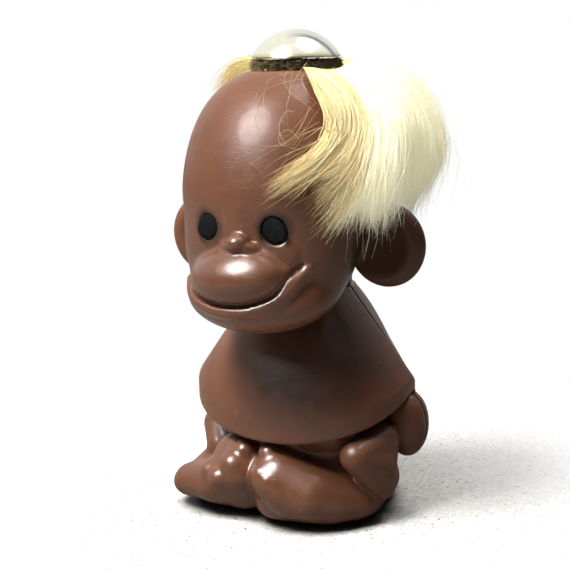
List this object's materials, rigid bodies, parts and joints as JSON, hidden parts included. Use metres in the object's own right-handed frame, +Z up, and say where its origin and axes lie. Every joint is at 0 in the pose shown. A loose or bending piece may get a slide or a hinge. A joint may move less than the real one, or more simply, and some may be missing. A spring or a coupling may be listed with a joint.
{
  "type": "toy monkey figure",
  "caption": "Small seated toy monkey of glossy brown plastic with a turning round head, big ears, a long grin, and a tuft of blond fur under a domed metal cap.",
  "frame": {"origin": "on the axis of the neck, at the level of the flat underside that the monkey sits on", "axes": "+Z up along the axis that the head turns about, -Y the way the monkey faces, +X towards its left hand"},
  "size_m": [0.0522, 0.05, 0.0904],
  "materials": {
    "brown_plastic": "semi-gloss dark chocolate brown, lightly scuffed",
    "eye_black": "dull black",
    "hide": "raw dark hide",
    "fur": "long straight blond fur",
    "cap_metal": "polished pale brass, worn",
    "pin_metal": "bare steel"
  },
  "bodies": {
    "body": {"body_front": "brown_plastic", "body_back": "brown_plastic", "base_plate": "brown_plastic"},
    "head": {"head_front": "brown_plastic", "head_back": "brown_plastic", "left_eye": "eye_black", "right_eye": "eye_black", "hide_disc": "hide", "hair_tuft": "fur", "cap_dome": "cap_metal", "cap_pin": "pin_metal", "push_nut": "pin_metal"}
  },
  "joints": [
    {"name": "head_turn", "type": "hinge", "parent": "body", "child": "head", "pos_m": [0, 0, 0.0408], "axis": [0, 0, 1], "continuous": true}
  ]
}
